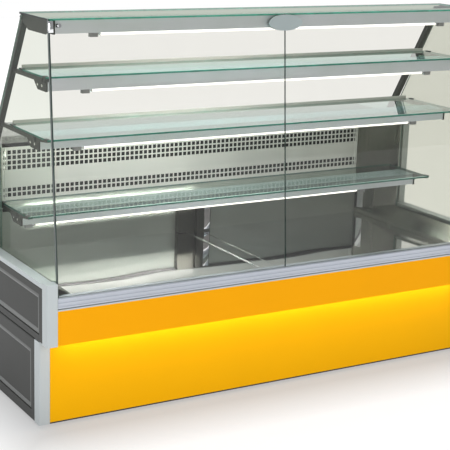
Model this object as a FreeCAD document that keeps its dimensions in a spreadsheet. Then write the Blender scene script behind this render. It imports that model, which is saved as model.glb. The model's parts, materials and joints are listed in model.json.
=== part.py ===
"""Refrigerated straight-glass bakery display case, 1.8 m long, as separate named pieces.

Frame: millimetres, +Z up, X along the length, Y from the customer's side to the server's side.
The origin is on the floor under the middle of the case. Depths are written from the front plane,
which is the face of the yellow band, and the placement of each piece moves them to the origin.
"""
import FreeCAD, Part
import os
import re
from math import atan, cos, degrees, sin

import Sketcher
from FreeCAD import Placement, Rotation, Vector

# Driving dimensions: alias and value in millimetres or degrees. Heights are above the floor.
SIZES = {
    # overall
    "case_length": 1816, "case_depth": 952, "proud": 2, "case_top": 1343, "glass_half": 870,
    # levels
    "panel_bottom": 17, "frame_bottom": 45, "frame_bar": 40, "ledge_level": 305, "band_top": 422,
    "lip_top": 430, "rail_top": 466, "cap_top": 508, "deck_top": 436, "wall_top": 837,
    "worktop_top": 863, "well_bottom": 335, "grille_top": 325,
    # depths from the front plane
    "setback": 64, "post_depth": 36, "wall_front": 505, "panel_back": 687, "plenum_back": 780,
    "rear_face": 840, "base_back": 900,
    # sheet and glass
    "sheet": 1.5, "liner_sheet": 2, "glass_thick": 6, "clearance": 0.3, "half_joint": 1,
    # glazing
    "glass_lean": 76, "pane_foot": 442, "rail_depth": 34, "side_glass_in": 864, "stud_inset": 36,
    "stud_drop": 21, "stud_hole": 5, "stud_cap": 7, "oval_length": 134, "oval_height": 54,
    "oval_drop": 30, "oval_thick": 4,
    # shelves: top face, front edge and back edge of each glass, and the front of its profile
    "top_back": 313, "top_profile_front": 92,
    "upper_level": 1155, "upper_front": 135, "upper_back": 362, "upper_profile": 150,
    "middle_level": 955, "middle_front": 121, "middle_back": 446, "middle_profile": 212,
    "lower_level": 665, "lower_front": 284, "lower_back": 538, "lower_profile": 366,
    "shelf_half": 852, "profile_half": 840, "profile_depth": 96, "profile_height": 42,
    "profile_wall": 2, "profile_round": 24, "cap_thick": 6, "cap_rim": 2, "arm_bar": 9,
    # rear posts
    "post_in": 848, "post_out": 862, "post_section": 16, "post_foot": 572, "post_head": 292,
    "bracket_thick": 2, "bracket_low": 1292, "bracket_front": 100,
    # lights
    "tube_round": 4.5, "tube_gap": 0.5, "tube_half": 690, "tube_shift": -110, "tube_inset": 14,
    "clip_length": 26, "clip_half": 8, "clip_height": 14,
    # inner length and perforated panel
    "inner_half": 792, "perforation_pitch": 19, "perforation_hole": 14, "perforation_columns": 83,
    "strip_wide": 28, "panel_low": 596, "air_gap": 8, "column_half": 72, "column_slot": 11, "strip_half": 34,
    # refrigeration
    "fin_pitch": 12, "fin_count": 88, "coil_low": 470, "coil_high": 620, "coil_tube": 6,
    "fan_offset": 300, "fan_level": 720, "fan_half": 60, "fan_bore": 54, "fan_depth": 38,
    "unit_fan_half": 105, "unit_fan_bore": 98, "unit_fan_level": 200, "unit_fan_x": 330,
    "shaft_round": 3, "shaft_clearance": 0.05, "blade_pitch": 72,
    "compressor_round": 88, "compressor_x": 60, "compressor_depth": 500, "tray_left": -100,
    "tray_right": 640, "tray_sheet": 3,
    # drain and cable entry
    "drain_x": -300, "drain_depth": 400, "drain_low": 150, "drain_round": 14, "drain_spigot": 12,
    "drain_bore": 10, "sump_deep": 50, "cable_round": 4.5, "cable_x": 700, "cable_level": 150,
    # control box and switches
    "control_x": 480, "control_length": 250, "control_deep": 42, "control_low": 745,
    "control_high": 819, "window_low": 764, "window_high": 800, "light_x": 630, "cooling_x": 685,
    "rocker_wide": 22, "rocker_high": 28, "rocker_deep": 12, "rocker_rest": 8, "rocker_level": 782,
}

doc = FreeCAD.newDocument("bakery_display_case")
sheet = doc.addObject("Spreadsheet::Sheet", "Sizes")
for line, (alias, value) in enumerate(SIZES.items(), start=1):
    sheet.set(f"A{line}", alias)
    sheet.set(f"B{line}", str(value))
    sheet.setAlias(f"B{line}", alias)
doc.recompute()

# The front plane's place in the frame: the rail and posts stand proud of it.
ORIGIN = "proud - case_depth / 2"
ALIAS = re.compile(r"\b(" + "|".join(SIZES) + r")\b")
SUBPARTS = []


def formula(text):
    """The expression text with each alias turned into a reference to the sheet."""
    return ALIAS.sub(r"Sizes.\1", str(text))


def number(text):
    """The value of an expression text in millimetres."""
    return float(sheet.evalExpression(formula(text)))


def bind(thing, prop, text):
    thing.setExpression(prop, formula(text))


def keep(thing, label):
    """Name a finished sub-part, so that it is written out under that name."""
    thing.Label = label
    SUBPARTS.append(thing)
    return thing


def place(thing, x="0", depth="0", z="0", rotation=None):
    """Put a piece at x, at a depth from the front plane, and at a height z."""
    if rotation is not None:
        thing.Placement = Placement(Vector(), rotation)
    bind(thing, "Placement.Base.x", x)
    bind(thing, "Placement.Base.y", f"{depth} + {ORIGIN}")
    bind(thing, "Placement.Base.z", z)
    return thing


# ---------------------------------------------------------------- building helpers

def block(x, depth, z):
    """A box between two values of x, of depth and of height."""
    box = doc.addObject("Part::Box", "Block")
    bind(box, "Length", f"({x[1]}) - ({x[0]})")
    bind(box, "Width", f"({depth[1]}) - ({depth[0]})")
    bind(box, "Height", f"({z[1]}) - ({z[0]})")
    return place(box, x[0], depth[0], z[0])


ALONG = {
    "X": Rotation(Vector(0, 1, 0), 90),
    "Y": Rotation(Vector(1, 0, 0), -90),
    "Z": Rotation(),
}


def rod(axis, radius, length, x, depth, z):
    """A cylinder along an axis that starts at the given point."""
    cylinder = doc.addObject("Part::Cylinder", "Rod")
    bind(cylinder, "Radius", radius)
    bind(cylinder, "Height", length)
    return place(cylinder, x, depth, z, ALONG[axis])


def fuse(*pieces):
    joined = doc.addObject("Part::MultiFuse", "Fuse")
    joined.Shapes = list(pieces)
    joined.Refine = True
    return joined


def cut(base, *tools):
    result = doc.addObject("Part::Cut", "Cut")
    result.Base = base
    result.Tool = tools[0] if len(tools) == 1 else fuse(*tools)
    return result


def mirror_image(piece):
    """The same piece at the other end of the case."""
    image = doc.addObject("Part::Mirroring", "Mirror")
    image.Source = piece
    image.Base = Vector(0, 0, 0)
    image.Normal = Vector(1, 0, 0)
    return image


def group(*pieces):
    """Identical or paired solids that share one node."""
    compound = doc.addObject("Part::Compound", "Group")
    compound.Links = list(pieces)
    return compound


def both_ends(piece):
    return group(piece, mirror_image(piece))


def draw(sketch, outline):
    """Draw a closed outline of straight edges, with every corner dimensioned from the sheet."""
    first = sketch.GeometryCount
    points = [(number(u), number(v)) for u, v in outline]
    for here, there in zip(points, points[1:] + points[:1]):
        sketch.addGeometry(Part.LineSegment(Vector(*here, 0), Vector(*there, 0)), False)
    count = len(points)
    for index in range(count):
        following = first + (index + 1) % count
        sketch.addConstraint(Sketcher.Constraint("Coincident", first + index, 2, following, 1))
    for index, (texts, values) in enumerate(zip(outline, points)):
        for text, value, kind, axis in zip(texts, values, ("DistanceX", "DistanceY"), (-2, -1)):
            corner = first + index
            if abs(value) < 1e-9:
                sketch.addConstraint(Sketcher.Constraint("PointOnObject", corner, 1, axis))
                continue
            datum = sketch.addConstraint(Sketcher.Constraint(kind, -1, 1, corner, 1, value))
            bind(sketch, f"Constraints[{datum}]", text)


def sketch_on(body, role, *outlines):
    plane = next(item for item in body.Origin.OriginFeatures if item.Role == role)
    sketch = body.newObject("Sketcher::SketchObject", "Outline")
    sketch.AttachmentSupport = [(plane, "")]
    sketch.MapMode = "FlatFace"
    for outline in outlines:
        draw(sketch, outline)
    return sketch


def section(role, span, *outlines):
    """A body padded from a section: YZ along X, XZ along the depth, or XY along Z."""
    body = doc.addObject("PartDesign::Body", "Body")
    sketch = sketch_on(body, role, *outlines)
    pad = body.newObject("PartDesign::Pad", "Pad")
    pad.Profile = sketch
    bind(pad, "Length", f"({span[1]}) - ({span[0]})")
    if role == "YZ_Plane":
        place(body, x=span[0])
    elif role == "XY_Plane":
        place(body, z=span[0])
    else:
        place(body, depth=span[1])
    return body


def round_edges(body, radius, wanted, kind="Fillet"):
    """Fillet or chamfer the edges of a body's last feature whose middle passes a test."""
    doc.recompute()
    last = body.Tip
    names = []
    for index, edge in enumerate(last.Shape.Edges, start=1):
        middle = edge.valueAt((edge.FirstParameter + edge.LastParameter) / 2)
        if wanted(edge, middle):
            names.append(f"Edge{index}")
    feature = body.newObject(f"PartDesign::{kind}", kind)
    feature.Base = (last, names)
    bind(feature, "Radius" if kind == "Fillet" else "Size", radius)
    body.Tip = feature
    return body


def along(edge, axis):
    """True for a straight edge that runs along an axis of its body."""
    if len(edge.Vertexes) != 2:
        return False
    step = edge.Vertexes[1].Point - edge.Vertexes[0].Point
    return abs(abs(step.dot(axis)) - edge.Length) < 1e-6


def pocket(body, role, depth, *outlines, reverse=False):
    """Cut an outline from an origin plane into a body, checking that metal comes off."""
    doc.recompute()
    before = body.Shape.Volume
    sketch = sketch_on(body, role, *outlines)
    feature = body.newObject("PartDesign::Pocket", "Pocket")
    feature.Profile = sketch
    bind(feature, "Length", depth)
    feature.Reversed = reverse
    doc.recompute()
    if not body.Shape.Volume < before - 1:
        raise RuntimeError(f"pocket in {body.Name} cuts nothing")
    return body


def rectangle(u, v):
    return [(u[0], v[0]), (u[1], v[0]), (u[1], v[1]), (u[0], v[1])]


X_AXIS, Y_AXIS, Z_AXIS = Vector(1, 0, 0), Vector(0, 1, 0), Vector(0, 0, 1)
WHOLE = ("-glass_half + half_joint", "glass_half - half_joint")


# ---------------------------------------------------------------- chassis and base

def base_frame():
    """Welded square-tube frame: two sills, cross bars and the uprights under the well."""
    bars = []
    inner = "glass_half - 6"
    low = ("frame_bottom", "frame_bottom + frame_bar")
    for start in ("setback + 22", "base_back - frame_bar - 4"):
        bars.append(block((f"-({inner})", inner), (start, f"{start} + frame_bar"), low))
    for left in (f"-({inner})", "-frame_bar / 2", f"{inner} - frame_bar"):
        bars.append(block((left, f"{left} + frame_bar"), ("setback + 24", "base_back - 6"), low))
    for left in (f"-({inner})", f"{inner} - frame_bar"):
        for start in ("setback + 22", "panel_back - 40", "base_back - frame_bar - 4"):
            top = "grille_top" if start.startswith("base") else "well_bottom"
            bars.append(block((left, f"{left} + frame_bar"), (start, f"{start} + frame_bar"),
                              ("frame_bottom + 4", top)))
    keep(fuse(*bars), "base_frame")


def levelling_feet():
    """Six screw feet: a rubber-soled disc and a threaded stem up to the frame."""
    feet = []
    for x in ("-glass_half + 60", "0", "glass_half - 60"):
        for depth in ("setback + 52", "base_back - 24"):
            disc = rod("Z", "24", "10", x, depth, "0")
            collar = rod("Z", "13", "6", x, depth, "10")
            stem = rod("Z", "6", "frame_bottom - 16", x, depth, "16")
            feet.append(fuse(disc, collar, stem))
    keep(group(*feet), "levelling_feet")


def kick_plinth():
    plinth = section("YZ_Plane", ("-glass_half + 8", "glass_half - 8"), [
        ("setback + 20", "3"), ("setback + 21.5", "3"), ("setback + 21.5", "frame_bottom - 1.5"),
        ("setback + 30", "frame_bottom - 1.5"), ("setback + 30", "frame_bottom"),
        ("setback + 20", "frame_bottom")])
    keep(plinth, "kick_plinth")


def lower_front_panel():
    """Sheet-steel panel: the face and two folded edges that reach back to the frame."""
    top = "ledge_level - 3"
    keep(section("YZ_Plane", WHOLE, [
        ("setback", "panel_bottom"), ("setback + 20", "panel_bottom"),
        ("setback + 20", "panel_bottom + sheet"), ("setback + sheet", "panel_bottom + sheet"),
        ("setback + sheet", f"{top} - sheet"), ("setback + 20", f"{top} - sheet"),
        ("setback + 20", top), ("setback", top)]), "lower_front_panel")


def upper_front_panel():
    """The yellow band: a channel with its face to the customer and two flanges."""
    keep(section("YZ_Plane", WHOLE, [
        ("0", "ledge_level"), ("setback - 2", "ledge_level"),
        ("setback - 2", "ledge_level + sheet"), ("sheet", "ledge_level + sheet"),
        ("sheet", "band_top - sheet"), ("rail_depth", "band_top - sheet"),
        ("rail_depth", "band_top"), ("0", "band_top")]), "upper_front_panel")


def ledge_light():
    """LED strip on the underside of the band: aluminium channel and opal diffuser."""
    span = ("-glass_half + 40", "glass_half - 40")
    channel = section("YZ_Plane", span, [
        ("38", "ledge_level"), ("38", "ledge_level - 9"), ("39.2", "ledge_level - 9"),
        ("39.2", "ledge_level - 1.2"), ("52.8", "ledge_level - 1.2"),
        ("52.8", "ledge_level - 9"), ("54", "ledge_level - 9"), ("54", "ledge_level")])
    keep(channel, "led_channel")
    diffuser = section("YZ_Plane", span, rectangle(
        ("39.2", "52.8"), ("ledge_level - 10", "ledge_level - 6")))
    keep(diffuser, "led_diffuser")


def hinge_rail():
    """Fixed aluminium rail: a white lip over the band and the seat of the hinged rail."""
    keep(section("YZ_Plane", WHOLE, [
        ("-2", "band_top"), ("rail_depth + 4", "band_top"), ("rail_depth + 4", "lip_top"),
        ("14", "lip_top"), ("12", "lip_top - 3"), ("-2", "lip_top - 3")]), "hinge_rail")


def side_panels():
    """Moulded end panels, each with a raised frame round a sunk field."""
    outer = "case_length / 2"
    body = section("YZ_Plane", ("glass_half + 2", outer), [
        ("post_depth", "ledge_level"), ("base_back", "ledge_level"), ("base_back", "wall_top"),
        ("wall_front", "wall_top"), ("wall_front", "cap_top - 16"), ("post_depth", "cap_top - 16")])
    round_edges(body, "5", lambda edge, middle: middle.x > 30 and edge.Length > 100)
    field_cut(body, [("post_depth + 26", "ledge_level + 24"),
                     ("base_back - 40", "ledge_level + 24"), ("base_back - 40", "wall_top - 40"),
                     ("wall_front + 40", "wall_top - 40"), ("wall_front + 40", "cap_top - 40"),
                     ("post_depth + 26", "cap_top - 40")])
    keep(mirror_image(body), "side_panel_left")
    keep(body, "side_panel_right")
    lower = section("YZ_Plane", ("glass_half + 6", outer), rectangle(
        ("setback + 38", "base_back"), ("12", "ledge_level - 2")))
    round_edges(lower, "5", lambda edge, middle: middle.x > 30)
    field_cut(lower, rectangle(("setback + 66", "base_back - 40"),
                               ("panel_bottom + 30", "ledge_level - 44")))
    keep(both_ends(lower), "lower_side_panels")


def field_cut(body, outline):
    """Sink the field of a moulded panel and leave a raised frame round it."""
    doc.recompute()
    thickness = body.Shape.BoundBox.XLength
    plane = next(item for item in body.Origin.OriginFeatures if item.Role == "YZ_Plane")
    sketch = body.newObject("Sketcher::SketchObject", "Field")
    sketch.AttachmentSupport = [(plane, "")]
    sketch.MapMode = "FlatFace"
    sketch.AttachmentOffset = Placement(Vector(0, 0, thickness - 5), Rotation())
    draw(sketch, outline)
    before = body.Shape.Volume
    feature = body.newObject("PartDesign::Pocket", "Sunk")
    feature.Profile = sketch
    feature.Length = 10
    feature.Reversed = True
    doc.recompute()
    if not body.Shape.Volume < before - 1:
        raise RuntimeError("the sunk field cuts nothing")


def front_posts():
    """Light-grey corner posts in front of the side panels, the lower pair set back."""
    inner = "glass_half"
    outer = "case_length / 2"
    for label, start, deep, low, high in (
            ("upper_front_posts", "-2", "post_depth", "ledge_level - 2", "cap_top + 5"),
            ("lower_front_posts", "setback - 1", "setback + 38", "12", "ledge_level - 2")):
        post = section("XY_Plane", (low, high), rectangle((inner, outer), (start, deep)))
        round_edges(post, "6", lambda edge, middle: along(edge, Z_AXIS) and middle.x > 900
                    and middle.y < 200 and middle.y < number(start) + 1)
        keep(both_ends(post), label)


def side_caps():
    """Cap along the top of each low end, turned up the front edge of the rear end wall."""
    flat = block(("glass_half", "case_length / 2"), ("post_depth", "wall_front"),
                 ("cap_top - 16", "cap_top"))
    upright = block(("case_length / 2 - strip_wide", "case_length / 2"),
                    ("wall_front - 8", "wall_front"), ("cap_top - 4", "wall_top"))
    keep(both_ends(fuse(flat, upright)), "side_cap_strips")


# ---------------------------------------------------------------- refrigerated well

def insulated_well():
    """Foamed tub under the deck plates, with the sump that the condensate drains into."""
    outer = block(("-glass_half + 4", "glass_half - 4"), ("rail_depth + 6", "panel_back + 3"),
                  ("well_bottom", "deck_top - 14"))
    sump = block(("-inner_half + 14", "inner_half - 14"), ("rail_depth + 50", "panel_back - 30"),
                 ("deck_top - sump_deep", "deck_top"))
    place_of_drain = ("drain_x", "drain_depth")
    hole = rod("Z", "drain_spigot", "sump_deep * 2", *place_of_drain, "well_bottom - 1")
    keep(cut(outer, sump, hole), "insulated_well")
    pipe = rod("Z", "drain_round", "well_bottom - drain_low", *place_of_drain, "drain_low")
    spigot = rod("Z", "drain_spigot", "deck_top - sump_deep - drain_low", *place_of_drain,
                 "drain_low")
    bore = rod("Z", "drain_bore", "deck_top - drain_low", *place_of_drain, "drain_low - 1")
    keep(cut(fuse(pipe, spigot), bore), "drain_pipe")


def deck():
    """Two folded deck plates and the strip that covers their joint."""
    edge = "inner_half - liner_sheet - 1"
    plate = section("XZ_Plane", ("rail_depth + 5", "panel_back"), [
        ("strip_half - 8", "deck_top - 14"), ("strip_half - 8", "deck_top - 2"),
        (edge, "deck_top - 2"), (edge, "deck_top - 14"),
        (f"{edge} - liner_sheet", "deck_top - 14"), (f"{edge} - liner_sheet", "deck_top - 4"),
        ("strip_half - 6", "deck_top - 4"), ("strip_half - 6", "deck_top - 14")])
    keep(mirror_image(plate), "deck_plate_left")
    keep(plate, "deck_plate_right")
    strip = section("XY_Plane", ("deck_top - 2", "deck_top"),
                    rectangle(("-strip_half", "strip_half"), ("rail_depth + 5", "panel_back")))
    round_edges(strip, "1.2", lambda line, middle: along(line, Y_AXIS) and middle.z > 1,
                kind="Chamfer")
    keep(strip, "deck_joint_strip")


def inner_walls():
    """Stainless back wall, perforated air panel above it and the upright in the middle."""
    span = ("-inner_half + liner_sheet", "inner_half - liner_sheet")
    keep(section("YZ_Plane", span, [
        ("panel_back", "deck_top - 14"), ("panel_back + liner_sheet", "deck_top - 14"),
        ("panel_back + liner_sheet", "panel_low - air_gap"), ("panel_back", "panel_low - air_gap")]),
        "inner_back_wall")
    column = section("XY_Plane", ("deck_top", "panel_low - air_gap"), [
        ("-column_half", "panel_back - 26"), ("-column_slot", "panel_back - 26"),
        ("-column_slot", "panel_back - 8"), ("column_slot", "panel_back - 8"),
        ("column_slot", "panel_back - 26"), ("column_half", "panel_back - 26"),
        ("column_half", "panel_back"), ("-column_half", "panel_back")])
    keep(column, "centre_column")


def perforated_panel():
    """Air panel with square holes in two bands, four rows over two rows."""
    half = number("inner_half - liner_sheet")
    low, high = number("panel_low"), number("wall_top")
    pitch, hole = number("perforation_pitch"), number("perforation_hole")
    columns = int(number("perforation_columns"))
    top_row = high - 33.5
    rows = [top_row - pitch * step for step in (0, 1, 2, 3, 7.25, 8.25)]

    def frame(x0, x1, z0, z1):
        corners = [Vector(x0, 0, z0), Vector(x1, 0, z0), Vector(x1, 0, z1), Vector(x0, 0, z1)]
        return Part.makePolygon(corners + corners[:1])

    holes = []
    for row in rows:
        for column in range(columns):
            x = (column - (columns - 1) / 2) * pitch
            holes.append(frame(x - hole / 2, x + hole / 2, row - hole / 2, row + hole / 2))
    face = Part.makeFace([frame(-half, half, low, high)] + holes, "Part::FaceMakerCheese")
    panel = doc.addObject("Part::Feature", "PerforatedPanel")
    panel.Shape = face.extrude(Vector(0, -number("sheet"), 0))
    panel.Placement = Placement(Vector(0, number(f"panel_back + {ORIGIN}"), 0), Rotation())
    keep(panel, "perforated_panel")


def side_liners():
    """Folded stainless liner at each end: the sloped ledge and the slanting end wall."""
    thick = "liner_sheet"
    ledge = section("XZ_Plane", ("post_depth + 2", "panel_back - 2"), [
        ("inner_half", "deck_top - 14"), ("inner_half", "deck_top + 16"),
        ("glass_half - 8", "cap_top - 14"), ("glass_half", "cap_top - 14"),
        ("glass_half", f"cap_top - 14 - {thick}"), (f"glass_half - 8 + {thick} / 2",
                                                   f"cap_top - 14 - {thick}"),
        (f"inner_half + {thick}", f"deck_top + 16 - {thick} / 2"),
        (f"inner_half + {thick}", "deck_top - 14")])
    behind = section("XY_Plane", ("deck_top - 20", "cap_top"), [
        ("inner_half", "panel_back - 2"), ("glass_half", "wall_front"),
        ("glass_half + 10", "wall_front"), ("glass_half + 10", "panel_back"),
        ("inner_half", "panel_back")])
    wall = section("XY_Plane", ("deck_top - 14", "wall_top"), [
        (f"inner_half - {thick}", "panel_back - 2"), ("inner_half", "panel_back - 2"),
        ("glass_half", "wall_front"), ("glass_half", f"wall_front - {thick}"),
        (f"glass_half - {thick}", f"wall_front - {thick}")])
    flange = block(("glass_half - 1", "case_length / 2 - strip_wide"),
                   (f"wall_front - {thick}", "wall_front"), ("cap_top", "wall_top"))
    keep(both_ends(fuse(cut(ledge, behind), wall, flange)), "side_liners")


def rear_wall():
    """Foamed back wall with a slanting block at each end under the worktop's ears."""
    back = block(("-glass_half - 2", "glass_half + 2"), ("plenum_back", "rear_face"),
                 ("grille_top", "wall_top"))
    end = section("XY_Plane", ("deck_top - 14", "wall_top"), [
        ("inner_half", "panel_back - 2"), ("glass_half", "wall_front"),
        ("glass_half + 2", "wall_front"), ("glass_half + 2", "plenum_back + 1"),
        ("inner_half", "plenum_back + 1")])
    keep(fuse(back, end, mirror_image(end)), "rear_wall")


def worktop():
    """Granite serving top with a glued-on ear over each end wall."""
    slab = section("XY_Plane", ("wall_top", "worktop_top"), rectangle(
        ("-case_length / 2", "case_length / 2"), ("panel_back - 3", "case_depth - proud")))
    ear = section("XY_Plane", ("wall_top", "worktop_top"), [
        ("inner_half - 4", "panel_back - 3"), ("glass_half - 4", "wall_front - 4"),
        ("case_length / 2", "wall_front - 4"), ("case_length / 2", "panel_back - 3")])
    for stone in (slab, ear):
        round_edges(stone, "2", lambda line, middle: middle.z > 20 and not along(line, Z_AXIS),
                    kind="Chamfer")
    keep(group(slab, ear, mirror_image(ear)), "worktop")


# ---------------------------------------------------------------- superstructure

def rear_line(level):
    """Depth of the rear posts' front face at a height, as an expression."""
    rise = "(case_top - glass_thick - worktop_top)"
    return f"(post_foot - (post_foot - post_head) * ({level} - worktop_top) / {rise})"


def slanted_posts():
    head = "case_top - glass_thick - 4"
    post = section("YZ_Plane", ("post_in", "post_out"), [
        (rear_line("worktop_top"), "worktop_top"),
        (f"{rear_line('worktop_top')} + post_section", "worktop_top"),
        (f"{rear_line(head)} + post_section", head), (rear_line(head), head)])
    round_edges(post, "2", lambda edge, middle: edge.Length > 300)
    keep(both_ends(post), "slanted_posts")


def top_brackets():
    """End plates between posts and side glass that tie them to the top profile."""
    top = "case_top - glass_thick"
    plate = section("YZ_Plane", ("post_out", "post_out + bracket_thick"), [
        ("bracket_front", "bracket_low"), ("250", "bracket_low"),
        ("post_head + 30", f"{top} - 10"), ("post_head + 14", top), ("bracket_front - 6", top)])
    round_edges(plate, "12", lambda edge, middle: along(edge, X_AXIS)
                and middle.z < number("bracket_low") + 1)
    keep(both_ends(plate), "top_brackets")


def glass_slab(half, front, back, level):
    slab = section("XY_Plane", (f"{level} - glass_thick", level),
                   rectangle((f"-({half})", half), (front, back)))
    return round_edges(slab, "0.8", lambda edge, middle: not along(edge, Z_AXIS), kind="Chamfer")


def light_profile(front, level):
    """Rounded hollow aluminium profile that carries a shelf's front and its lamp."""
    low = f"{level} - profile_height"
    hollow = "profile_wall"
    back = f"{front} + profile_depth"
    profile = section("YZ_Plane", ("-profile_half", "profile_half"), [
        (front, low), (f"{back} - 30", low), (back, f"{low} + 24"), (back, level), (front, level)])
    round_edges(profile, "profile_round / 2", lambda edge, middle: along(edge, X_AXIS)
                and middle.z < number(level) - 5 and middle.y > number(front) + 5)
    return pocket(profile, "YZ_Plane", "2 * profile_half", [
        (f"{front} + {hollow}", f"{low} + {hollow}"), (f"{back} - 32", f"{low} + {hollow}"),
        (f"{back} - {hollow}", f"{low} + 25"), (f"{back} - {hollow}", f"{level} - {hollow}"),
        (f"{front} + {hollow}", f"{level} - {hollow}")], reverse=True)


def profile_cap(front, level):
    """Dark moulded end of a profile, a little larger than its section."""
    low = f"{level} - profile_height - cap_rim"
    back = f"{front} + profile_depth + cap_rim"
    cap = section("YZ_Plane", ("profile_half", "profile_half + cap_thick"), [
        (f"{front} - cap_rim", low), (f"{back} - 31", low), (back, f"{low} + 26"),
        (back, level), (f"{front} - cap_rim", level)])
    return round_edges(cap, "profile_round / 2", lambda edge, middle: along(edge, X_AXIS)
                       and middle.z < number(level) - 5 and middle.y > number(front) + 5)


def shelf_arm(front, level, back):
    """Flat bar from the rear post or the end wall to the end of a profile."""
    return block(("profile_half + cap_thick", "profile_half + cap_thick + arm_bar"),
                 (f"{front} + 12", back), (f"{level} - arm_bar - 5", level))


def lamp(front, level, shift="0"):
    """A lamp tube and the two clips that hold it under a profile."""
    depth = f"{front} + tube_inset"
    axis_level = f"{level} - profile_height - tube_round - tube_gap"
    tube = rod("X", "tube_round", "2 * tube_half", f"-tube_half + {shift}", depth, axis_level)
    clips = []
    for start in (f"-tube_half - clip_length + {shift}", f"tube_half + {shift}"):
        clips.append(block((start, f"{start} + clip_length"),
                           (f"{depth} - clip_half", f"{depth} + clip_half"),
                           (f"{level} - profile_height - clip_height",
                            f"{level} - profile_height")))
    return tube, clips


def shelving():
    """Top glass and three shelves, each with its profile, caps, arms and lamp."""
    keep(glass_slab("glass_half - 2", "glass_lean + glass_thick + 3", "top_back", "case_top"),
         "top_glass")
    keep(light_profile("top_profile_front", "case_top - glass_thick"), "light_profile_top")
    caps = [profile_cap("top_profile_front", "case_top - glass_thick")]
    caps.append(block(("profile_half + cap_thick", "post_out"),
                      ("top_profile_front + 30", "top_profile_front + 80"),
                      ("case_top - 40", "case_top - 14")))
    caps = [fuse(*caps)]
    tube, clips = lamp("top_profile_front", "case_top - glass_thick")
    tubes, all_clips, arms = [tube], list(clips), []
    for name, shift in (("upper", "0"), ("middle", "0"), ("lower", "tube_shift")):
        under = f"{name}_level - glass_thick"
        front = f"{name}_profile"
        keep(glass_slab("shelf_half", f"{name}_front", f"{name}_back", f"{name}_level"),
             f"shelf_glass_{name}")
        keep(light_profile(front, under), f"light_profile_{name}")
        caps.append(profile_cap(front, under))
        back = "wall_front + 28" if name == "lower" else rear_line(under)
        arms.append(shelf_arm(front, under, back))
        tube, clips = lamp(front, under, shift)
        tubes.append(tube)
        all_clips += clips
    keep(group(*caps, *[mirror_image(cap) for cap in caps]), "profile_end_caps")
    keep(group(*arms, *[mirror_image(arm) for arm in arms]), "shelf_arms")
    keep(group(*tubes), "light_tubes")
    keep(group(*all_clips), "tube_clips")


def side_glasses():
    """Fixed end glass in the liner's corner, cut along the lines of the front and the posts."""
    lean = "glass_lean / (case_top - band_top)"
    foot = "cap_top - 14"
    top = "case_top - glass_thick"
    back = "wall_front - 10"
    glass = section("YZ_Plane", ("side_glass_in", "side_glass_in + glass_thick"), [
        ("post_depth + 6", foot), (back, foot), (back, "worktop_top"),
        (f"{rear_line('worktop_top')} - 14", "worktop_top + 12"), (f"{rear_line(top)} + 4", top),
        (f"8 + ({top} - band_top) * {lean}", top),
        (f"8 + (cap_top + 6 - band_top) * {lean}", "cap_top + 6"),
        ("post_depth + 6", "cap_top + 6")])
    keep(mirror_image(glass), "side_glass_left")
    keep(glass, "side_glass_right")


# ---------------------------------------------------------------- opening front glass

LEAN_ANGLE = atan(SIZES["glass_lean"] / (SIZES["case_top"] - SIZES["band_top"]))
LEAN = Rotation(Vector(1, 0, 0), -degrees(LEAN_ANGLE))
PANE_LINE = "glass_lean / (case_top - band_top)"


def on_pane(level):
    """Depth of the panes' outer face at a height, as an expression."""
    return f"(({level} - band_top) * {PANE_LINE})"


def clamp_rail():
    """Hinged aluminium rail that grips the foot of both panes: grooved face, glass channel."""
    gap = "clearance"
    front_wall = on_pane("rail_top")
    rail = section("YZ_Plane", WHOLE, [
        ("-2", f"lip_top + {gap}"), ("rail_depth", f"lip_top + {gap}"),
        ("rail_depth", "rail_top - 8"), ("rail_depth - 4", "rail_top"),
        (f"{front_wall} + glass_thick + 0.2", "rail_top"),
        (f"{on_pane('pane_foot')} + glass_thick", "pane_foot - 0.6"),
        (f"{on_pane('pane_foot')} - 0.2", "pane_foot - 0.6"), (f"{front_wall} - 0.1", "rail_top"),
        ("0.5", "rail_top"), ("-2", "rail_top - 3"), ("-2", "rail_top - 12"),
        ("-0.5", "rail_top - 13"), ("-0.5", "rail_top - 16"), ("-2", "rail_top - 17"),
        ("-2", "rail_top - 25"), ("-0.5", "rail_top - 26"), ("-0.5", "rail_top - 29"),
        ("-2", "rail_top - 30")])
    keep(rail, "glass_clamp_rail")


def front_panes():
    """Two panes side by side, leaning back, drilled for the corner studs."""
    height = (SIZES["case_top"] - SIZES["pane_foot"]) / cos(LEAN_ANGLE)
    stud_level = "case_top - stud_drop"
    panes = []
    for start, stud_x in (("-glass_half + half_joint", "-glass_half + stud_inset"),
                          ("half_joint", "glass_half - stud_inset")):
        slab = doc.addObject("Part::Box", "Pane")
        bind(slab, "Length", "glass_half - 2 * half_joint")
        bind(slab, "Width", "glass_thick")
        slab.Height = height
        place(slab, start, on_pane("pane_foot"), "pane_foot", LEAN)
        panes.append(cut(slab, normal_rod("stud_hole", "20", stud_x, stud_level, "6")))
    for pane, label in zip(panes, ("front_pane_left", "front_pane_right")):
        keep(pane, label)


def normal_rod(radius, length, x, level, offset):
    """A cylinder square to the panes, starting at an offset in front of their outer face."""
    bar = doc.addObject("Part::Cylinder", "Bar")
    bind(bar, "Radius", radius)
    bind(bar, "Height", length)
    return place(bar, x, f"{on_pane(level)} - {offset} * {cos(LEAN_ANGLE):.6f}",
                 f"{level} + {offset} * {sin(LEAN_ANGLE):.6f}", LEAN.multiply(ALONG["Y"]))


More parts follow.
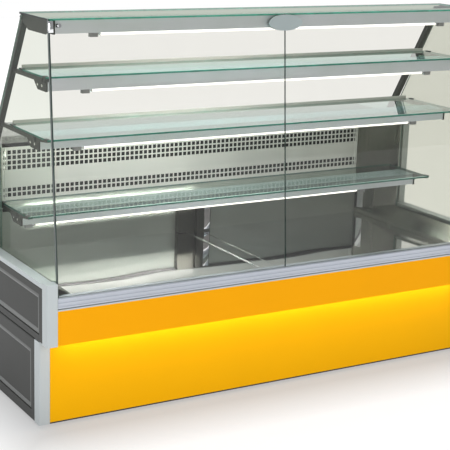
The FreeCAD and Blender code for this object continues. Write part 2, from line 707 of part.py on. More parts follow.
def glass_studs():
    """Chrome studs through the top corners: a domed cap, the shank and an inner nut."""
    level = "case_top - stud_drop"
    studs = []
    for x in ("-glass_half + stud_inset", "glass_half - stud_inset"):
        cap = normal_rod("stud_cap", "4", x, level, "4")
        dome = normal_rod("stud_cap - 2", "6", x, level, "6")
        shank = normal_rod("stud_hole - 0.05", "glass_thick + 6", x, level, "2")
        nut = normal_rod("stud_cap", "4", x, level, "-glass_thick")
        studs.append(fuse(cap, dome, shank, nut))
    keep(group(*studs), "glass_studs")


def joint_plates():
    """Oval plate over the joint of the panes, its backing plate and the web between them."""
    level = "case_top - oval_drop"

    def oval(start, thick):
        outline = doc.addObject("Part::Ellipse", "Oval")
        bind(outline, "MajorRadius", "oval_length / 2")
        bind(outline, "MinorRadius", "oval_height / 2")
        plate = doc.addObject("Part::Extrusion", "OvalPlate")
        plate.Base = outline
        plate.DirMode = "Custom"
        plate.Dir = Z_AXIS
        plate.Solid = True
        bind(plate, "LengthFwd", thick)
        return place(plate, "0", start, "0", ALONG["Y"])

    web = block(("-half_joint + 0.1", "half_joint - 0.1"), ("-1", "glass_thick + 1"), ("-20", "20"))
    plates = fuse(oval("-oval_thick", "oval_thick"), web, oval("glass_thick", "oval_thick - 1"))
    foot = Vector(0, number(f"{on_pane(level)} + {ORIGIN}"), number(level))
    to_face = Placement(Vector(0, -number(ORIGIN), 0), Rotation())
    plates.Placement = Placement(foot, LEAN).multiply(to_face)
    keep(plates, "joint_plates")


# ---------------------------------------------------------------- refrigeration and controls

BLADES = 5


def fan(x, depth, level, half, bore, deep):
    """A fan's square shroud with its motor and shaft, and the rotor that turns on the shaft."""
    plate = block((f"{x} - {half}", f"{x} + {half}"), (depth, f"{depth} + {deep}"),
                  (f"{level} - {half}", f"{level} + {half}"))
    ring = cut(plate, rod("Y", bore, f"{deep} + 2", x, f"{depth} - 1", level))
    motor = rod("Y", f"{bore} * 0.38", "14", x, f"{depth} + {deep} - 14", level)
    arms = [block((f"{x} - {bore} - 1", f"{x} + {bore} + 1"),
                  (f"{depth} + {deep} - 4", f"{depth} + {deep}"), (f"{level} - 3", f"{level} + 3")),
            block((f"{x} - 3", f"{x} + 3"), (f"{depth} + {deep} - 4", f"{depth} + {deep}"),
                  (f"{level} - {bore} - 1", f"{level} + {bore} + 1"))]
    shaft = rod("Y", "shaft_round", f"{deep} - 16", x, f"{depth} + 4", level)
    shroud = fuse(ring, motor, *arms, shaft)
    hub_start = f"{depth} + 6"
    hub = rod("Y", f"{bore} * 0.36", f"{deep} - 22", x, hub_start, level)
    blades = []
    for index in range(BLADES):
        blade = doc.addObject("Part::Box", "Blade")
        bind(blade, "Length", f"{bore} * 0.62 - 2")
        bind(blade, "Width", "1.6")
        bind(blade, "Height", f"{bore} * 0.3")
        blade.Placement = blade_placement(index, number(x), number(hub_start), number(level),
                                          number(bore), number(f"{deep} - 22"))
        blades.append(blade)
    bore_hole = rod("Y", "shaft_round + shaft_clearance", f"{deep}", x, depth, level)
    return shroud, cut(fuse(hub, *blades), bore_hole)


def blade_placement(index, x, depth, level, bore, hub_length):
    """Placement of one pitched blade: it starts in the hub and ends short of the bore."""
    spin = Rotation(Y_AXIS, 360 / BLADES * index)
    pitch = Rotation(X_AXIS, number("blade_pitch"))
    start = Vector(bore * 0.34, 0, 0)
    centre = Vector(x, depth + hub_length / 2 + number(ORIGIN), level)
    turn = spin.multiply(pitch)
    middle = turn.multVec(Vector(0, 0.8, bore * 0.15))
    return Placement(centre + spin.multVec(start) - middle, turn)


def refrigeration():
    """Evaporator and fans behind the air panel; condensing unit in the base."""
    shrouds = []
    for label, x in (("evaporator_fan_left", "-fan_offset"), ("evaporator_fan_right", "fan_offset")):
        shroud, rotor = fan(x, "plenum_back - fan_depth", "fan_level", "fan_half", "fan_bore",
                            "fan_depth")
        shrouds.append(shroud)
        keep(rotor, label)
    keep(group(*shrouds), "evaporator_fan_shrouds")
    evaporator()
    shroud, rotor = fan("unit_fan_x", "base_back - 150", "unit_fan_level", "unit_fan_half",
                        "unit_fan_bore", "50")
    keep(shroud, "condenser_shroud")
    keep(rotor, "condenser_fan")
    floor = "frame_bottom + frame_bar + tray_sheet"
    tray = block(("tray_left", "tray_right"), ("setback + 62", "base_back - 50"),
                 ("frame_bottom + frame_bar", floor))
    keep(tray, "unit_tray")
    coil = block(("unit_fan_x - 150", "unit_fan_x + 150"), ("base_back - 96", "base_back - 52"),
                 (floor, f"{floor} + 220"))
    slots = [block((f"unit_fan_x - 142 + {offset}", f"unit_fan_x - 140 + {offset}"),
                   ("base_back - 100", "base_back - 88"), (f"{floor} + 8", f"{floor} + 212"))
             for offset in range(0, 280, 14)]
    keep(cut(coil, *slots), "condenser_coil")
    compressor(floor)


def evaporator():
    """Fin pack on eight tubes, as one brazed piece."""
    half = number("fin_pitch * (fin_count - 1) / 2")
    depth = number(f"panel_back + 10 + {ORIGIN}")
    low, high = number("coil_low"), number("coil_high")
    fins = [Part.makeBox(1.2, 70, high - low, Vector(index * number("fin_pitch") - half, depth, low))
            for index in range(int(number("fin_count")))]
    tubes = []
    for row in range(4):
        for column in range(2):
            start = Vector(-half - 20, depth + 20 + 30 * column, low + 25 + row * 33)
            tubes.append(Part.makeCylinder(number("coil_tube"), 2 * half + 41.2, start, X_AXIS))
    coil = doc.addObject("Part::Feature", "Evaporator")
    coil.Shape = fins[0].multiFuse(fins[1:] + tubes)
    keep(coil, "evaporator_coil")


def compressor(floor):
    """Hermetic compressor: a domed shell on a plate with four rubber feet."""
    centre = ("compressor_x", "compressor_depth")
    body = rod("Z", "compressor_round", "110", *centre, f"{floor} + 30")
    dome = doc.addObject("Part::Sphere", "Dome")
    bind(dome, "Radius", "compressor_round")
    place(dome, *centre, f"{floor} + 140")
    base = block(("compressor_x - 110", "compressor_x + 110"),
                 ("compressor_depth - 90", "compressor_depth + 90"),
                 (f"{floor} + 14", f"{floor} + 30"))
    feet = [rod("Z", "12", "14", f"compressor_x {x}", f"compressor_depth {depth}", floor)
            for x in ("- 94", "+ 94") for depth in ("- 74", "+ 74")]
    flat_top = block(("compressor_x - 120", "compressor_x + 120"),
                     ("compressor_depth - 120", "compressor_depth + 120"),
                     (f"{floor} + 205", f"{floor} + 320"))
    keep(cut(fuse(body, dome, base, *feet), flat_top), "compressor")


def rear_grille():
    """Louvred sheet that closes the machine space at the server's side."""
    half = "glass_half - 2"
    face = block((f"-({half})", half), ("base_back - 2", "base_back"), ("50", "grille_top"))
    ledge = block((f"-({half})", half), ("rear_face", "base_back"), ("grille_top", "grille_top + 2"))
    sheet_metal = fuse(face, ledge)
    slots = []
    for column in range(3):
        for row in range(9):
            x = f"116 + {column * 150}"
            z = f"110 + {row * 20}"
            slots.append(block((x, f"{x} + 120"), ("base_back - 5", "base_back + 5"),
                               (z, f"{z} + 8")))
    cable_hole = rod("Y", "cable_round", "8", "cable_x", "base_back - 4", "cable_level")
    keep(cut(sheet_metal, cable_hole, *slots), "rear_grille")
    flange = rod("Y", "14", "6", "cable_x", "base_back", "cable_level")
    neck = rod("Y", "9", "16", "cable_x", "base_back", "cable_level")
    bore = rod("Y", "cable_round", "30", "cable_x", "base_back - 4", "cable_level")
    keep(cut(fuse(flange, neck), bore), "cable_gland")


def controls():
    """Control box under the worktop with a recessed display and two rocker switches."""
    box = block(("control_x", "control_x + control_length"),
                ("rear_face", "rear_face + control_deep"), ("control_low", "control_high"))
    window = block(("control_x + 24", "control_x + 104"),
                   ("rear_face + control_deep - 3", "rear_face + control_deep + 8"),
                   ("window_low", "window_high"))
    tools = [window]
    for label, x in (("light_switch", "light_x"), ("cooling_switch", "cooling_x")):
        tools.append(block((f"{x} - rocker_wide / 2 - 1", f"{x} + rocker_wide / 2 + 1"),
                           ("rear_face + 22", "rear_face + 50"),
                           ("rocker_level - rocker_high / 2 - 4",
                            "rocker_level + rocker_high / 2 + 4")))
        rocker = section("YZ_Plane", ("0", "rocker_wide"), [
            ("-rocker_deep / 2", "-rocker_high / 2"), ("rocker_deep / 2 + 2", "-rocker_high / 2"),
            ("rocker_deep / 2 - 1", "0"), ("rocker_deep / 2 + 2", "rocker_high / 2"),
            ("-rocker_deep / 2", "rocker_high / 2")])
        rocker.Placement = Placement(Vector(), Rotation(Vector(1, 0, 0), -number("rocker_rest")))
        place(rocker, f"{x} - rocker_wide / 2", "rear_face + 36", "rocker_level")
        keep(rocker, label)
    keep(cut(box, *tools), "control_box")


# ---------------------------------------------------------------- assembly and export

def build():
    base_frame()
    levelling_feet()
    kick_plinth()
    lower_front_panel()
    upper_front_panel()
    ledge_light()
    hinge_rail()
    side_panels()
    front_posts()
    side_caps()
    insulated_well()
    deck()
    inner_walls()
    perforated_panel()
    side_liners()
    rear_wall()
    worktop()
    slanted_posts()
    top_brackets()
    shelving()
    side_glasses()
    clamp_rail()
    front_panes()
    glass_studs()
    joint_plates()
    refrigeration()
    rear_grille()
    controls()
    doc.recompute()


def check():
    """Stop before anything is written if an object failed or a sub-part is not sound."""
    for thing in doc.Objects:
        if {"Invalid", "Error"} & set(thing.State):
            raise RuntimeError(f"{thing.Label} failed: {thing.State}")
    for part in SUBPARTS:
        if part.Shape.isNull() or not part.Shape.isValid() or not part.Shape.Solids:
            raise RuntimeError(f"{part.Label} is not a sound solid")


def export():
    os.makedirs("parts", exist_ok=True)
    for part in SUBPARTS:
        part.Shape.exportStep(f"parts/{part.Label}.step")
        box = part.Shape.BoundBox
        print(f"{part.Label:26s} solids {len(part.Shape.Solids):3d}  "
              f"x {box.XMin:8.1f} {box.XMax:8.1f}  y {box.YMin:7.1f} {box.YMax:7.1f}  "
              f"z {box.ZMin:7.1f} {box.ZMax:7.1f}")
    print(len(SUBPARTS), "sub-parts")


build()
check()
export()
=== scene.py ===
"""Looks of the bakery display case: materials, small parts, light and camera on the CAD frame."""
import json
import math

import bmesh
import bpy
from mathutils import Matrix, Vector


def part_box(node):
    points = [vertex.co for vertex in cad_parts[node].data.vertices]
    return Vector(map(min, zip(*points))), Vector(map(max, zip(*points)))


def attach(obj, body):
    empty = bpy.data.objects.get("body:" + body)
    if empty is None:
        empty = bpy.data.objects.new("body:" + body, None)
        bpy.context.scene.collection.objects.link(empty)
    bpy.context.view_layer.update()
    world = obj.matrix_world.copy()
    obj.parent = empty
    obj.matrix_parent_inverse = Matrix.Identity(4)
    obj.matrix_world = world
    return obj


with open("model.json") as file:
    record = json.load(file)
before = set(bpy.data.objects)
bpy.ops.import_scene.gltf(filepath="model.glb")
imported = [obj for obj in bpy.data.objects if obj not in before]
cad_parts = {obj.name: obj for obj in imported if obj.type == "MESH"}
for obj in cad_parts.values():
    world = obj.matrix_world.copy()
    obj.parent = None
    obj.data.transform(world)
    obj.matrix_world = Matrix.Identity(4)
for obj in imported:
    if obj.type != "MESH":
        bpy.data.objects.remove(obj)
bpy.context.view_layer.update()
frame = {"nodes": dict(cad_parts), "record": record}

NODES = frame["nodes"]
SLOT_OF = {part["node"]: part["material_slot"] for part in frame["record"]["subparts"]}
MM = 0.001
GAP = 0.1 * MM                  # hair's breadth between a piece and the face it lies on
PANE_THICK = 6 * MM
FERRULE = 4.85 * MM             # radius of the lamps' metal collars, just over the tube's
WALL_RUN = (78 * MM, -182 * MM)     # a slanting end wall in plan, from the air panel forward
CASE, GLASS = "case", "front_glass"

scene = bpy.context.scene


# ---------------------------------------------------------------- node trees

def add(tree, kind, inputs=None, **settings):
    """A shader node with its settings made and its inputs set or linked."""
    made = tree.nodes.new("ShaderNode" + kind)
    for key, value in settings.items():
        setattr(made, key, value)
    for key, value in (inputs or {}).items():
        socket = made.inputs[key]
        if isinstance(value, bpy.types.NodeSocket):
            tree.links.new(value, socket)
        else:
            socket.default_value = value
    return made


def empty_material(name):
    """A new material with nothing but its output node."""
    made = bpy.data.materials.new(name)
    made.use_nodes = True
    made.node_tree.nodes.clear()
    return made, made.node_tree, add(made.node_tree, "OutputMaterial")


def place(tree, scale=(1, 1, 1)):
    """Object coordinates in metres, stretched by a scale."""
    source = add(tree, "TexCoord").outputs["Object"]
    return add(tree, "Mapping", {"Vector": source, "Scale": scale}).outputs["Vector"]


def noise(tree, vector, scale, detail=2.0, rough=0.5):
    """Noise from 0 to 1."""
    values = {"Vector": vector, "Scale": scale, "Detail": detail, "Roughness": rough}
    return add(tree, "TexNoise", values).outputs["Fac"]


def span(tree, value, low, high, start=0.3, end=0.7):
    """A value from start to end carried to the range low to high."""
    values = {"Value": value, "From Min": start, "From Max": end, "To Min": low, "To Max": high}
    return add(tree, "MapRange", values).outputs["Result"]


def math_node(tree, operation, a, b=0.0):
    """One arithmetic step."""
    made = add(tree, "Math", operation=operation)
    for socket, value in zip(made.inputs, (a, b)):
        if isinstance(value, bpy.types.NodeSocket):
            tree.links.new(value, socket)
        else:
            socket.default_value = value
    return made.outputs[0]


def blend_colour(tree, factor, a, b):
    """Two colours mixed by a factor."""
    made = add(tree, "Mix", data_type="RGBA", blend_type="MIX")
    for index, value in ((0, factor), (6, a), (7, b)):
        socket = made.inputs[index]
        if isinstance(value, bpy.types.NodeSocket):
            tree.links.new(value, socket)
        else:
            socket.default_value = value if index == 0 else (*value[:3], 1.0)
    return made.outputs[2]


def bump(tree, height, depth, normal=None):
    """A normal from a height of 0 to 1 that is depth metres deep."""
    values = {"Height": height, "Distance": depth, "Strength": 1.0}
    if normal is not None:
        values["Normal"] = normal
    return add(tree, "Bump", values).outputs["Normal"]


def shade(colour, factor):
    """A colour made lighter or darker."""
    return tuple(min(channel * factor, 1.0) for channel in colour)


def surface(name, colour, rough, metallic=0.0, stretch=(1, 1, 1), grain=900.0, depth=20e-6,
            vary=0.06, rough_vary=0.06, coat=0.0, warp=0.0, warp_scale=3.0, tint=None,
            specular=0.5):
    """Painted, moulded or metal finish: drifting colour, uneven gloss and a fine grain.

    Grain is in waves per metre and depth is the grain's in metres; stretch draws the grain out
    along an axis; warp bends the whole sheet a little, which shows in its reflections.
    """
    made, tree, output = empty_material(name)
    at = place(tree)
    drift = noise(tree, at, 5.0, 3.0)
    fine = noise(tree, place(tree, stretch), grain, 3.0, 0.6)
    broad = blend_colour(tree, span(tree, drift, 0.0, 1.0), shade(colour, 1 - vary),
                         tint or shade(colour, 1 + vary))
    both = blend_colour(tree, span(tree, fine, 0.0, 0.5), broad, shade(colour, 1 - 1.5 * vary))
    gloss = math_node(tree, "ADD", span(tree, fine, -rough_vary / 2, rough_vary / 2),
                      span(tree, drift, rough - rough_vary / 2, rough + rough_vary / 2))
    normal = bump(tree, fine, depth)
    if warp:
        normal = bump(tree, noise(tree, at, warp_scale, 1.0), warp, normal)
    values = {"Base Color": both, "Roughness": gloss, "Metallic": metallic, "Normal": normal,
              "Coat Weight": coat, "Coat Roughness": 0.12, "Specular IOR Level": specular}
    shader = add(tree, "BsdfPrincipled", values)
    tree.links.new(shader.outputs[0], output.inputs["Surface"])
    return made


def glass(name, tint, edge, lit_back_edge, axis, gloss):
    """Float glass: clear faces that mirror by Fresnel, and coloured ground edges; edges that face
    back get a paler colour, painted light in place of the edge's own green.

    The axis is the one across the pane, and the object's own normal tells faces from edges.
    """
    made, tree, output = empty_material(name)
    at = place(tree)
    normal = add(tree, "SeparateXYZ", {"Vector": add(tree, "TexCoord").outputs["Normal"]})
    across = math_node(tree, "ABSOLUTE", normal.outputs["XYZ".index(axis)])
    is_face = math_node(tree, "GREATER_THAN", across, 0.8)
    streak = noise(tree, place(tree, (3, 3, 1)), 4.0, 4.0, 0.6)
    clear = add(tree, "BsdfTransparent",
                {"Color": blend_colour(tree, streak, shade(tint, 0.985), tint)})
    mirror = add(tree, "BsdfGlossy", {"Color": (1, 1, 1, 1),
                 "Roughness": span(tree, streak, 0.0, 0.02)})
    fresnel = add(tree, "Fresnel", {"IOR": 1.5}).outputs[0]
    inside = add(tree, "NewGeometry").outputs["Backfacing"]
    outside = math_node(tree, "MULTIPLY", fresnel, span(tree, inside, gloss, 0.0, 0, 1))
    face = add(tree, "MixShader", {"Fac": outside, 1: clear.outputs[0], 2: mirror.outputs[0]})
    # painted light: edges facing back are drawn in the paler back-edge colour
    lit_back_mask = math_node(tree, "GREATER_THAN", normal.outputs["Y"], 0.5)
    ripple = noise(tree, at, 60.0, 3.0)
    green = blend_colour(tree, span(tree, ripple, 0, 1), shade(edge, 0.7), shade(edge, 1.25))
    rim = add(tree, "BsdfPrincipled", {
        "Base Color": blend_colour(tree, lit_back_mask, green, lit_back_edge),
        "Roughness": span(tree, ripple, 0.25, 0.4), "Specular IOR Level": 0.3,
        "Normal": bump(tree, noise(tree, at, 700.0), 30e-6)})
    solid = add(tree, "MixShader", {"Fac": 0.18, 1: rim.outputs[0], 2: clear.outputs[0]})
    whole = add(tree, "MixShader", {"Fac": is_face, 1: solid.outputs[0], 2: face.outputs[0]})
    tree.links.new(whole.outputs[0], output.inputs["Surface"])
    return made


def granite(name):
    """Polished speckled stone: pale, grey and black grains of two sizes."""
    made, tree, output = empty_material(name)
    at = place(tree)
    coarse = add(tree, "TexVoronoi", {"Vector": at, "Scale": 420.0}).outputs["Color"]
    fine = add(tree, "TexVoronoi", {"Vector": at, "Scale": 1100.0}).outputs["Color"]
    mixed = blend_colour(tree, 0.45, coarse, fine)
    grey = add(tree, "SeparateColor", {"Color": mixed}).outputs["Red"]
    ramp = add(tree, "ValToRGB", {"Fac": grey})
    stops = ((0.0, (0.02, 0.02, 0.02)), (0.28, (0.04, 0.04, 0.04)), (0.38, (0.20, 0.205, 0.20)),
             (0.60, (0.33, 0.335, 0.32)), (0.74, (0.52, 0.52, 0.5)), (1.0, (0.68, 0.68, 0.66)))
    while len(ramp.color_ramp.elements) < len(stops):
        ramp.color_ramp.elements.new(0.5)
    for element, (position, colour) in zip(ramp.color_ramp.elements, stops):
        element.position = position
        element.color = (*colour, 1)
    cloud = span(tree, noise(tree, at, 12.0, 3.0), 0.0, 0.35)
    colour = blend_colour(tree, cloud, ramp.outputs[0], (0.30, 0.30, 0.29))
    shader = add(tree, "BsdfPrincipled", {
        "Base Color": colour, "Roughness": span(tree, grey, 0.34, 0.46),
        "Normal": bump(tree, noise(tree, at, 900.0), 8e-6), "Coat Weight": 0.1,
        "Coat Roughness": 0.3, "Specular IOR Level": 0.35})
    tree.links.new(shader.outputs[0], output.inputs["Surface"])
    return made


def lamp_glow(name, colour, strength, half_length, spots=0.0):
    """A lit lamp: dimmer towards its ends, or a row of points under a diffuser."""
    made, tree, output = empty_material(name)
    at = place(tree)
    along = add(tree, "SeparateXYZ", {"Vector": at}).outputs["X"]
    reach = math_node(tree, "ABSOLUTE", along)
    level = span(tree, reach, strength, strength * 0.35, half_length - 0.03, half_length)
    if spots:
        wave = math_node(tree, "SINE", math_node(tree, "MULTIPLY", along, math.tau / spots))
        level = math_node(tree, "MULTIPLY", level, span(tree, wave, 0.65, 1.1, -1, 1))
    skin = noise(tree, at, 300.0)
    shader = add(tree, "BsdfPrincipled", {
        "Base Color": blend_colour(tree, span(tree, skin, 0, 1), shade(colour, 0.9), colour),
        "Roughness": span(tree, skin, 0.2, 0.35), "Emission Color": (*colour, 1),
        "Emission Strength": level, "Normal": bump(tree, skin, 5e-6)})
    tree.links.new(shader.outputs[0], output.inputs["Surface"])
    return made


def fins(name, pitch, colour):
    """A block of thin fins: painted shade in the gaps between bright edges, with bent patches."""
    made, tree, output = empty_material(name)
    at = place(tree)
    along = add(tree, "SeparateXYZ", {"Vector": at}).outputs["X"]
    wander = math_node(tree, "MULTIPLY", noise(tree, at, 30.0), 0.002)
    phase = math_node(tree, "MULTIPLY", math_node(tree, "ADD", along, wander), math.tau / pitch)
    wave = math_node(tree, "SINE", phase)
    shader = add(tree, "BsdfPrincipled", {
        # painted shade: the gaps between fins darkened to a fifth of the fin colour
        "Base Color": blend_colour(tree, span(tree, wave, 0, 1, -0.6, 0.4), shade(colour, 0.2),
                                   colour),
        "Metallic": 0.9, "Roughness": span(tree, noise(tree, at, 90.0), 0.3, 0.5),
        "Normal": bump(tree, wave, 0.0006)})
    tree.links.new(shader.outputs[0], output.inputs["Surface"])
    return made


def galvanised(name, colour):
    """Zinc-coated sheet: flat spangles that each catch the light a little differently."""
    made, tree, output = empty_material(name)
    at = place(tree)
    cell = add(tree, "TexVoronoi", {"Vector": at, "Scale": 110.0})
    level = add(tree, "SeparateColor", {"Color": cell.outputs["Color"]}).outputs["Green"]
    shader = add(tree, "BsdfPrincipled", {
        "Base Color": blend_colour(tree, level, shade(colour, 0.8), shade(colour, 1.15)),
        "Metallic": 1.0, "Roughness": span(tree, level, 0.28, 0.5, 0, 1),
        "Normal": bump(tree, level, 20e-6)})
    tree.links.new(shader.outputs[0], output.inputs["Surface"])
    return made


ALONG_X, ALONG_Z = (0.015, 1, 1), (1, 1, 0.015)
WARM_TINT, COOL_TINT, SIDE_TINT = (0.885, 0.878, 0.853), (0.74, 0.87, 0.845), (0.86, 0.87, 0.83)
TOP_TINT = (0.63, 0.67, 0.60)
# The third colour is the pale colour of the horizontal glasses' back edges: painted light.
EDGE_GREEN, EDGE_DARK, LIT_EDGE_GREY = (0.006, 0.15, 0.11), (0.006, 0.035, 0.028), (0.4, 0.42, 0.37)
EDGE_PALE, EDGE_TEAL, EDGE_MINT = (0.14, 0.22, 0.19), (0.015, 0.24, 0.18), (0.05, 0.5, 0.38)

MATERIALS = {
    "yellow_paint": surface("yellow_paint", (0.96, 0.47, 0.001), 0.5, depth=6e-6, grain=450,
                            vary=0.015, specular=0.06),
    "dark_moulding": surface("dark_moulding", (0.042, 0.043, 0.040), 0.6, grain=1600,
                             depth=60e-6, vary=0.08),
    "light_trim": surface("light_trim", (0.52, 0.56, 0.57), 0.42, depth=12e-6, vary=0.03),
    "anodised_rail": surface("anodised_rail", (0.50, 0.53, 0.59), 0.34, 0.85, ALONG_X, 700,
                             8e-6, vary=0.05),
    "anodised_profile": surface("anodised_profile", (0.72, 0.80, 0.84), 0.36, 0.15, ALONG_X, 700,
                                8e-6, vary=0.06, tint=(0.80, 0.83, 0.95)),
    "stainless": surface("stainless", (0.22, 0.25, 0.23), 0.13, 1.0, ALONG_X, 140, 0.2e-6,
                         vary=0.08, warp=0.0006, warp_scale=4),
    "polished_stainless": surface("polished_stainless", (0.86, 0.85, 0.88), 0.035, 1.0, ALONG_X,
                                  140, 0.2e-6, vary=0.06, rough_vary=0.02, warp=0.012,
                                  warp_scale=1.3),
    "panel_steel": surface("panel_steel", (0.88, 0.90, 0.87), 0.36, 0.5, ALONG_X, 900, 6e-6,
                           vary=0.06, warp=0.0005),
    "frame_steel": surface("frame_steel", (0.03, 0.032, 0.035), 0.45, grain=600, depth=25e-6),
    "black_plastic": surface("black_plastic", (0.02, 0.02, 0.021), 0.5, grain=1500, depth=30e-6),
    "foam_core": surface("foam_core", (0.78, 0.72, 0.55), 0.85, grain=350, depth=200e-6),
    "coated_wall": surface("coated_wall", (0.45, 0.475, 0.47), 0.4, grain=700, depth=10e-6),
    "granite": granite("granite"),
    "dark_metal": surface("dark_metal", (0.055, 0.062, 0.057), 0.42, 0.2, grain=1200,
                          depth=14e-6, vary=0.1, specular=0.3),
    "lamp_tube": lamp_glow("lamp_tube", (1.0, 0.99, 0.97), 1.6, 0.8),
    "opal_diffuser": lamp_glow("opal_diffuser", (1.0, 0.99, 0.80), 3.0, 0.85, spots=0.02),
    "fin_aluminium": fins("fin_aluminium", 0.004, (0.7, 0.72, 0.73)),
    "galvanised": galvanised("galvanised", (0.5, 0.53, 0.56)),
    "black_shell": surface("black_shell", (0.012, 0.012, 0.013), 0.22, grain=500, depth=8e-6,
                           coat=0.5),
    "grey_pipe": surface("grey_pipe", (0.30, 0.31, 0.32), 0.4, grain=900, depth=15e-6),
    "rocker_black": surface("rocker_black", (0.015, 0.015, 0.016), 0.2, grain=1200, depth=6e-6),
    "bright_chrome": surface("bright_chrome", (0.85, 0.86, 0.87), 0.08, 1.0, grain=1500,
                             depth=1e-6, vary=0.03, rough_vary=0.04),
    "satin_plate": surface("satin_plate", (0.50, 0.57, 0.57), 0.36, 0.6, ALONG_X, 900, 5e-6,
                           vary=0.05),
}
PANE_GLASS = glass("pane_glass", WARM_TINT, EDGE_DARK, EDGE_DARK, "Y", 0.8)
UPPER_GLASS = glass("upper_glass", (0.66, 0.83, 0.79), EDGE_TEAL, LIT_EDGE_GREY, "Z", 1.2)
MIDDLE_GLASS = glass("middle_glass", COOL_TINT, EDGE_TEAL, LIT_EDGE_GREY, "Z", 1.6)
LOWER_GLASS = glass("lower_glass", (0.66, 0.71, 0.68), EDGE_GREEN, LIT_EDGE_GREY, "Z", 0.5)
TOP_GLASS = glass("top_glass", TOP_TINT, EDGE_MINT, LIT_EDGE_GREY, "Z", 0.4)
SIDE_GLASS = glass("side_glass", SIDE_TINT, EDGE_PALE, EDGE_PALE, "X", 0.3)
GLASS_OF = {"front_pane_left": PANE_GLASS, "front_pane_right": PANE_GLASS,
            "side_glass_left": SIDE_GLASS, "side_glass_right": SIDE_GLASS,
            "top_glass": TOP_GLASS, "shelf_glass_upper": UPPER_GLASS,
            "shelf_glass_middle": MIDDLE_GLASS, "shelf_glass_lower": LOWER_GLASS}
LOOK_OF = {
    "upper_front_panel": surface("band_paint", (0.95, 0.40, 0.001), 0.5, depth=6e-6, grain=450,
                                 vary=0.015, specular=0.06),
    "inner_back_wall": surface("satin_steel", (0.36, 0.39, 0.36), 0.4, 0.75, ALONG_X, 140, 1e-6,
                               vary=0.05),
    "slanted_posts": surface("post_finish", (0.045, 0.048, 0.042), 0.45, 0.0, ALONG_Z, 900, 10e-6,
                             vary=0.12, specular=0.3),
    "side_liners": surface("liner_steel", (0.27, 0.275, 0.24), 0.24, 0.9, ALONG_Z, 140, 0.4e-6,
                           vary=0.08),
    "centre_column": surface("column_steel", (0.055, 0.057, 0.048), 0.34, 0.6, ALONG_Z, 140,
                             1e-6, vary=0.15),
}
STOP = surface("acrylic_stop", (0.62, 0.60, 0.57), 0.3, grain=600, depth=6e-6, vary=0.04)
# Pale green for strips behind the glasses' front edges: painted highlight of light gathered in
# the glass.
EDGE_HIGHLIGHT = surface("edge_highlight_paint", (0.60, 0.86, 0.78), 0.2, grain=300, depth=4e-6, vary=0.05)
SEAL = surface("edge_seal", (0.010, 0.028, 0.022), 0.25, grain=900, depth=8e-6, coat=0.3)
# The beads' lighter copy of the dark moulding is a painted highlight on their crests.
LIT_BEAD = surface("bead_painted_highlight", (0.15, 0.155, 0.15), 0.45, grain=1600, depth=50e-6, vary=0.08)

for node_name, node in NODES.items():
    slot_name = SLOT_OF[node_name]
    if slot_name == "clear_glass":
        chosen = GLASS_OF[node_name]
    else:
        chosen = LOOK_OF.get(node_name, MATERIALS[slot_name])
    if not node.data.materials:
        node.data.materials.append(chosen)
    for slot in node.material_slots:
        slot.material = chosen


# ---------------------------------------------------------------- building small parts

def add_box(bm, low, high, bevel=0.0, turn=None):
    """A box, with rounded edges when a bevel is given, turned by a matrix if one is given."""
    low, high = Vector(low), Vector(high)
    made = bmesh.ops.create_cube(bm, size=1.0)["verts"]
    size = high - low
    bmesh.ops.scale(bm, vec=size, verts=made)
    edges = list({edge for vert in made for edge in vert.link_edges})
    if bevel:
        made = bmesh.ops.bevel(bm, geom=edges, offset=bevel, segments=2, profile=0.5,
                               affect="EDGES")["verts"]
        made = list(set(made))
    bmesh.ops.translate(bm, vec=(low + high) / 2, verts=made)
    if turn is not None:
        bmesh.ops.transform(bm, matrix=turn, verts=made)


def add_turned(bm, profile, centre, axis, sides=20):
    """A turned part: radius and height pairs along an axis from a centre."""
    axis = Vector(axis).normalized()
    side = axis.orthogonal().normalized()
    other = axis.cross(side)
    rings = []
    for radius, height in profile:
        ring = []
        for step in range(sides):
            angle = math.tau * step / sides
            around = math.cos(angle) * side + math.sin(angle) * other
            ring.append(bm.verts.new(Vector(centre) + axis * height + around * radius))
        rings.append(ring)
    for ring, following in zip(rings, rings[1:]):
        for step in range(sides):
            after = (step + 1) % sides
            bm.faces.new((ring[step], ring[after], following[after], following[step]))
    bm.faces.new(list(reversed(rings[0])))
    bm.faces.new(rings[-1])


def add_prism(bm, outline, start, end, axis="X"):
    """A flat outline carried from start to end along an axis; the outline is in the other two."""
    order = {"X": lambda u, v, w: (w, u, v), "Y": lambda u, v, w: (u, w, v),
             "Z": lambda u, v, w: (u, v, w)}[axis]
    rings = [[bm.verts.new(order(u, v, w)) for u, v in outline] for w in (start, end)]
    count = len(outline)
    for index in range(count):
        after = (index + 1) % count
        bm.faces.new((rings[0][index], rings[0][after], rings[1][after], rings[1][index]))
    bm.faces.new(list(reversed(rings[0])))
    bm.faces.new(rings[1])


def add_bead(bm, outline, base, rise, width, steps=6):
    """A half-round bead inside a closed outline of (y, z), on the plane x = base."""
    count = len(outline)
    points = [Vector(point) for point in outline]
    area = sum(a.x * b.y - b.x * a.y for a, b in zip(points, points[1:] + points[:1]))
    inward = 1.0 if area > 0 else -1.0
    mitres = []
    for index in range(count):
        before = (points[index] - points[index - 1]).normalized()
        after = (points[(index + 1) % count] - points[index]).normalized()
        left, right = Vector((-before.y, before.x)), Vector((-after.y, after.x))
        mitres.append((left + right) * inward / (1 + left.dot(right)))
    rings = []
    for step in range(steps + 1):
        share = step / steps
        x = base + rise * math.sin(math.pi * share)
        rings.append([bm.verts.new((x, *(point + mitre * width * share)))
                      for point, mitre in zip(points, mitres)])
    for ring, following in zip(rings, rings[1:]):
        for index in range(count):
            after = (index + 1) % count
            bm.faces.new((ring[index], ring[after], following[after], following[index]))


